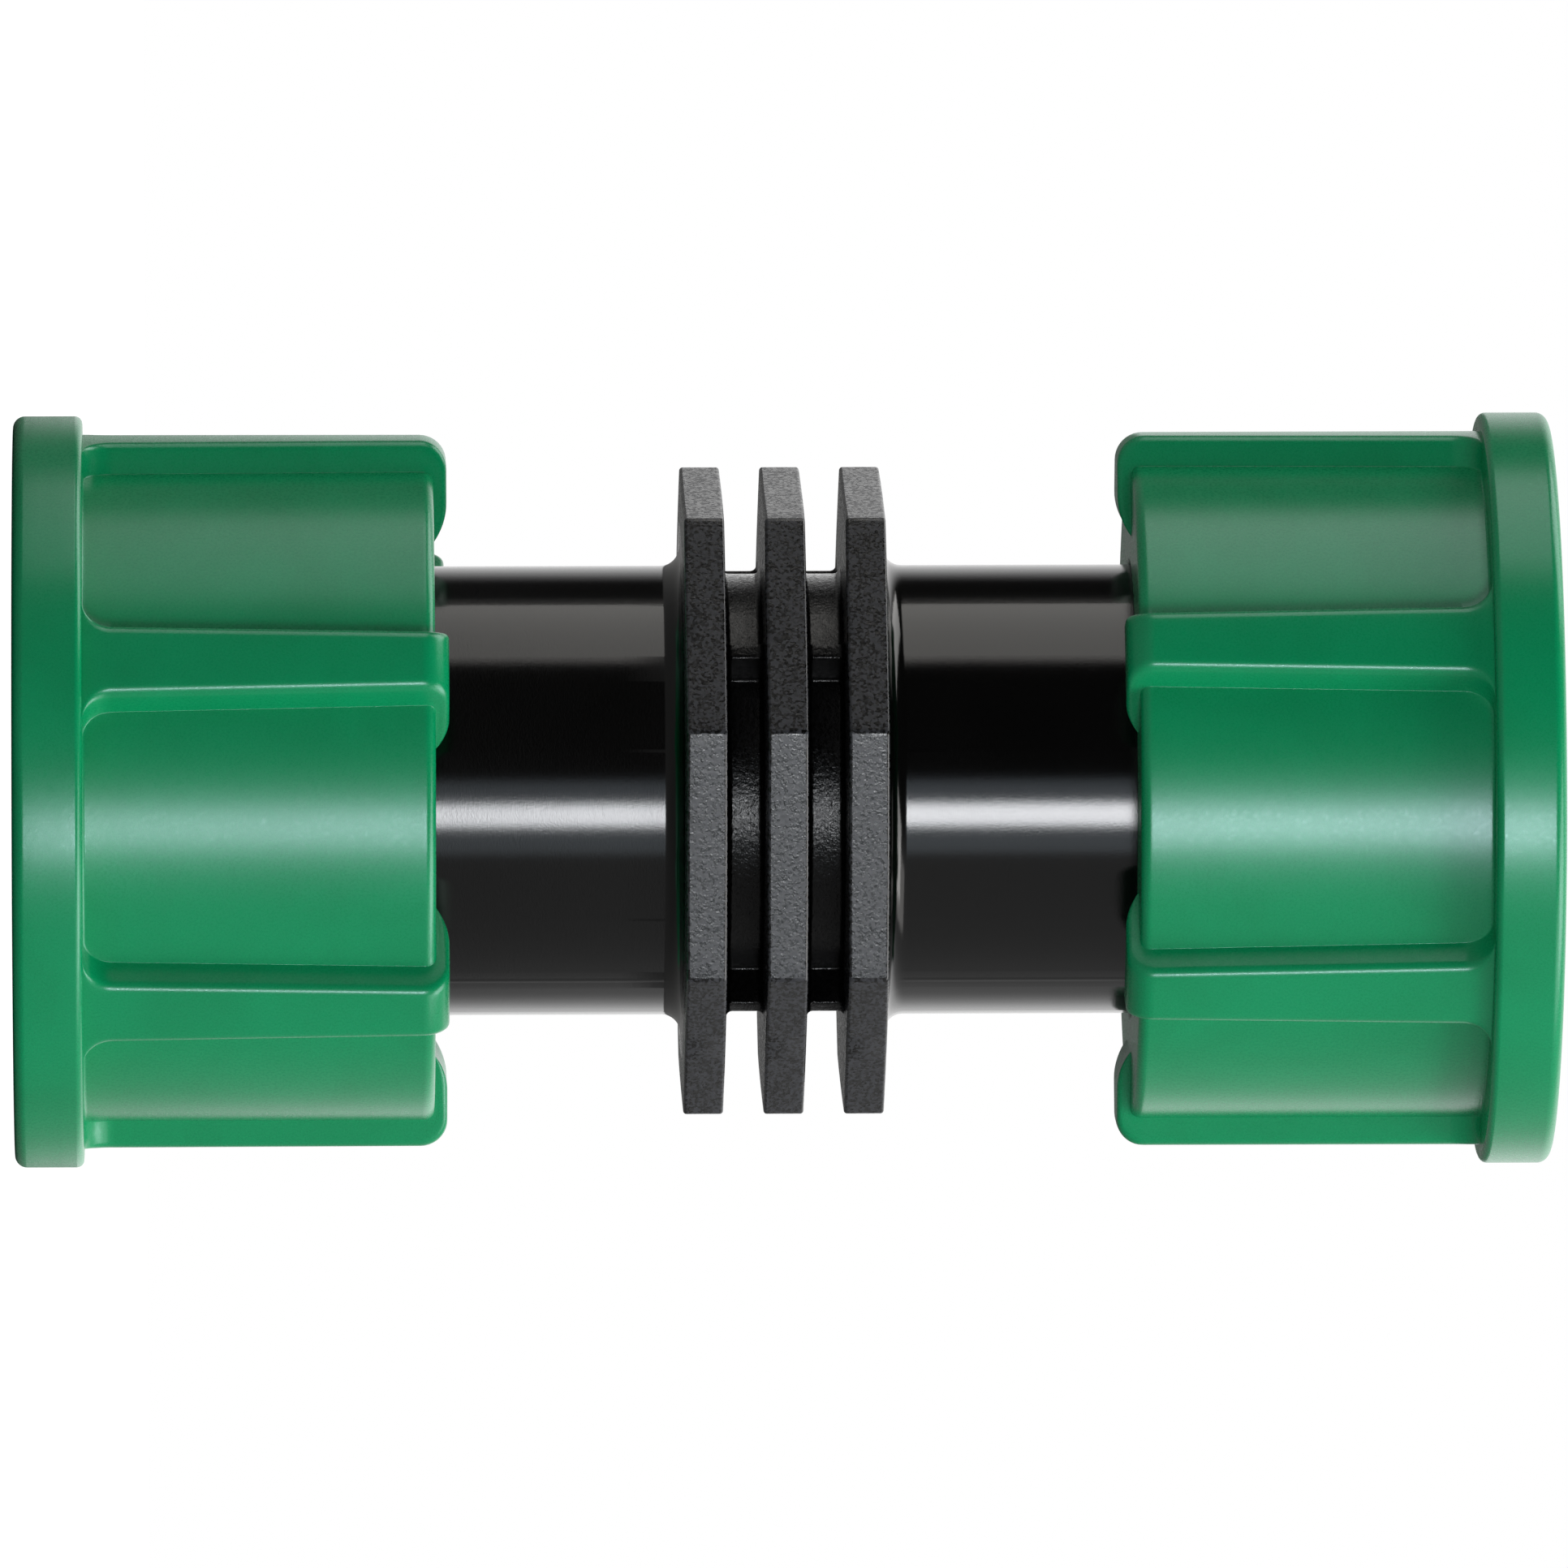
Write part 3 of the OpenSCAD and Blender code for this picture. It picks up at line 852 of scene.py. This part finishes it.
blackRubber = {
    "colour": (0.02, 0.02, 0.022),
    "maskedColour": (0.045, 0.045, 0.047),
    "cloud": 3.0,
    "rough": 0.6,
    "maskedRough": 0.8,
    "grain": 0.3,
    "fineShare": 0.6,
    "grainDepth": 0.02,
}


def makeBlackRubber():
    v = blackRubber
    material, tree, shader = newMaterial("washerRubber")
    grain, flow = placeSand(tree, v), placeFlow(tree, v)
    paintSurface(tree, shader, v, flow.outputs["Tone"], grain.outputs["Peaks"])
    roughenSurface(tree, shader, v, grain)
    return material


def paintNode(node, material):
    node.data.materials.clear()
    node.data.materials.append(material)


greenMaterial = makeGreenPlastic()
for piece in (nutLowerPiece, nutUpperPiece):
    piece.data.materials.append(greenMaterial)
# In the order of the finishes
bodyPiece.data.materials.append(makeBlackGloss())
bodyPiece.data.materials.append(makeBlackSand("blackSandedPlastic", blackSand))
bodyPiece.data.materials.append(makeBlackSand("blackHubPlastic", hubSand))
acetal, rubber = makeWhiteAcetal(), makeBlackRubber()
for side in ("lower", "upper"):
    paintNode(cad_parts["retaining_ring_" + side], acetal)
    paintNode(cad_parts["sealing_washer_" + side], rubber)
print("materials done")

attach(bodyPiece, "fitting_body")
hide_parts("coupling_body")
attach(nutLowerPiece, "nut_lower")
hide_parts("swivel_nut_lower")
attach(nutUpperPiece, "nut_upper")
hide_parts("swivel_nut_upper")


# Floor, world, lamps and camera. The part's axis lies across the picture, its lower nut on the left

studio = {
    "floorRadius": 3.0,
    "floorColour": (0.9, 0.9, 0.9),
    "floorBounce": (0.14, 0.14, 0.14),
    "floorGlow": 0.92,
    "floorRough": 0.9,
    "floorShare": 0.25,  # how much of the floor's own shading, with the shadow, the camera sees
    "viewTurn": -102.57,  # degrees about the part's axis
    "viewDistance": 1.44,
    "viewHeight": 0.0115,
    "viewAim": 0.0456,
    "viewLift": 0.00035,
    "viewRoll": 0.17,  # degrees
    "viewWidth": 0.0929,  # what the picture spans at the part, in metres
    "sensor": 36.0,
}


def buildFloor():
    floor = bpy.data.objects.new("studio_floor", bpy.data.meshes.new("studio_floor"))
    work = bmesh.new()
    bmesh.ops.create_circle(work, cap_ends=True, segments=64, radius=studio["floorRadius"])
    work.to_mesh(floor.data)
    work.free()
    bpy.context.scene.collection.objects.link(floor)
    material, tree, shader = newMaterial("paleFloor")
    shader.inputs["Roughness"].default_value = studio["floorRough"]
    glow = addNode(tree, "ShaderNodeEmission")
    glow.inputs["Strength"].default_value = studio["floorGlow"] / (1 - studio["floorShare"])
    rays = addNode(tree, "ShaderNodeLightPath")
    # The floor looks pale, but throws little light back on the object
    seen = rays.outputs["Is Camera Ray"]
    tone = mixColour(tree, seen, studio["floorBounce"], studio["floorColour"])
    tree.links.new(tone, shader.inputs["Base Color"])
    share = addNode(tree, "ShaderNodeMath", operation="MULTIPLY")
    share.inputs[1].default_value = 1 - studio["floorShare"]
    blend = addNode(tree, "ShaderNodeMixShader")
    tree.links.new(seen, share.inputs[0])
    tree.links.new(share.outputs[0], blend.inputs[0])
    tree.links.new(shader.outputs[0], blend.inputs[1])
    tree.links.new(glow.outputs[0], blend.inputs[2])
    tree.links.new(blend.outputs[0], tree.nodes["Material Output"].inputs["Surface"])
    floor.data.materials.append(material)


# The room round the object: angle in degrees from the main camera, brightness
roomTones = [(0, 0.03), (22, 0.1), (36, 0.4), (105, 0.42), (132, 0.62), (150, 1.25),
             (180, 1.2), (203, 1.02), (211, 0.75), (219, 0.25), (224, 0.02), (360, 0.03)]


def buildWorld():
    world = bpy.data.worlds.new("studioRoom")
    bpy.context.scene.world = world
    world.use_nodes = True
    tree = world.node_tree
    output = tree.nodes["World Output"]
    room = tree.nodes["Background"]
    seen = addNode(tree, "ShaderNodeBackground")
    seen.inputs["Color"].default_value = (1, 1, 1, 1)
    place = addNode(tree, "ShaderNodeTexCoord")
    mapping = addNode(tree, "ShaderNodeMapping")
    mapping.inputs["Rotation"].default_value = (0, 0, math.radians(180 - studio["viewTurn"]))
    around = addNode(tree, "ShaderNodeTexGradient", gradient_type="RADIAL")
    tones = addNode(tree, "ShaderNodeValToRGB")
    stops = tones.color_ramp.elements
    while len(stops) > 1:
        stops.remove(stops[-1])
    top = max(tone for angle, tone in roomTones)
    for i, (angle, tone) in enumerate(roomTones):
        stop = stops[0] if i == 0 else stops.new(angle / 360)
        stop.position = angle / 360
        stop.color = (*[tone / top] * 3, 1)
    room.inputs["Strength"].default_value = top
    rays = addNode(tree, "ShaderNodeLightPath")
    blend = addNode(tree, "ShaderNodeMixShader")
    tree.links.new(place.outputs["Generated"], mapping.inputs["Vector"])
    tree.links.new(mapping.outputs[0], around.inputs["Vector"])
    tree.links.new(around.outputs["Fac"], tones.inputs["Fac"])
    tree.links.new(tones.outputs["Color"], room.inputs["Color"])
    tree.links.new(rays.outputs["Is Camera Ray"], blend.inputs[0])
    tree.links.new(room.outputs[0], blend.inputs[1])
    tree.links.new(seen.outputs[0], blend.inputs[2])
    tree.links.new(blend.outputs[0], output.inputs["Surface"])


# Turn from the main camera and rise in degrees, distance and size in metres
lamps = [
    {"name": "keyStrip", "turn": 12.8, "rise": 0, "distance": 1.3, "width": 0.25, "height": 0.45,
     "brightness": 20.0, "colour": (0.96, 0.975, 1.0)},
    {"name": "keyGlow", "turn": 14.0, "rise": 0, "distance": 1.32, "width": 0.88, "height": 0.45,
     "brightness": 1.1, "colour": (0.78, 0.9, 1.0)},
    {"name": "topBox", "turn": 46, "rise": 62, "distance": 1.2, "width": 0.8, "height": 0.8,
     "brightness": 4.2, "colour": (1.0, 0.99, 0.97)},
    {"name": "sideBox", "turn": -112, "rise": 45, "distance": 1.2, "width": 0.8, "height": 0.8,
     "brightness": 3.0, "colour": (1.0, 0.99, 0.97)},
    {"name": "softBox", "turn": -90.5, "rise": 0, "distance": 1.0, "width": 0.78, "height": 0.5,
     "brightness": 1.8, "colour": (1.0, 0.98, 0.94)},
    {"name": "fillBox", "turn": 62, "rise": 40, "distance": 1.2, "width": 0.8, "height": 0.8,
     "brightness": 1.7, "colour": (1.0, 0.97, 0.94)},
]


def addLamp(lamp):
    data = bpy.data.lights.new(lamp["name"], "AREA")
    data.shape = "RECTANGLE"
    data.size, data.size_y = lamp["width"], lamp["height"]
    data.color = lamp["colour"]
    data.energy = math.pi * lamp["brightness"] * lamp["width"] * lamp["height"]
    lampObject = bpy.data.objects.new(lamp["name"], data)
    bpy.context.scene.collection.objects.link(lampObject)
    angle = math.radians(studio["viewTurn"] + lamp["turn"])
    rise = math.radians(lamp["rise"])
    middle = Vector((0, 0, couplingLength * mm / 2))
    level = Vector((math.cos(angle), math.sin(angle), 0))
    towards = level * math.cos(rise) + Vector((0, 0, math.sin(rise)))
    lampObject.location = middle + towards * lamp["distance"]
    lampObject.rotation_euler = (-towards).to_track_quat("-Z", "Y").to_euler()
    lampObject.visible_camera = False


def buildCamera():
    data = bpy.data.cameras.new("mainCamera")
    data.sensor_width = studio["sensor"]
    data.lens = studio["sensor"] * studio["viewDistance"] / studio["viewWidth"]
    camera = bpy.data.objects.new("mainCamera", data)
    bpy.context.scene.collection.objects.link(camera)
    angle = math.radians(studio["viewTurn"])
    towards = Vector((math.cos(angle), math.sin(angle), 0))
    up = Vector((math.sin(angle), -math.cos(angle), 0))
    lift = up * studio["viewLift"]
    place = towards * studio["viewDistance"] + Vector((0, 0, studio["viewHeight"])) + lift
    aim = Vector((0, 0, studio["viewAim"])) + lift
    forward = (aim - place).normalized()
    right = forward.cross(up).normalized()
    up = right.cross(forward)
    turn = Matrix((right, up, -forward)).transposed().to_4x4()
    roll = Matrix.Rotation(math.radians(-studio["viewRoll"]), 4, "Z")
    camera.matrix_world = Matrix.Translation(place) @ turn @ roll
    data.clip_start, data.clip_end = 0.01, 50
    bpy.context.scene.camera = camera


buildFloor()
buildWorld()
for lamp in lamps:
    addLamp(lamp)
buildCamera()
bpy.context.scene.view_settings.view_transform = "Standard"
print("studio done")
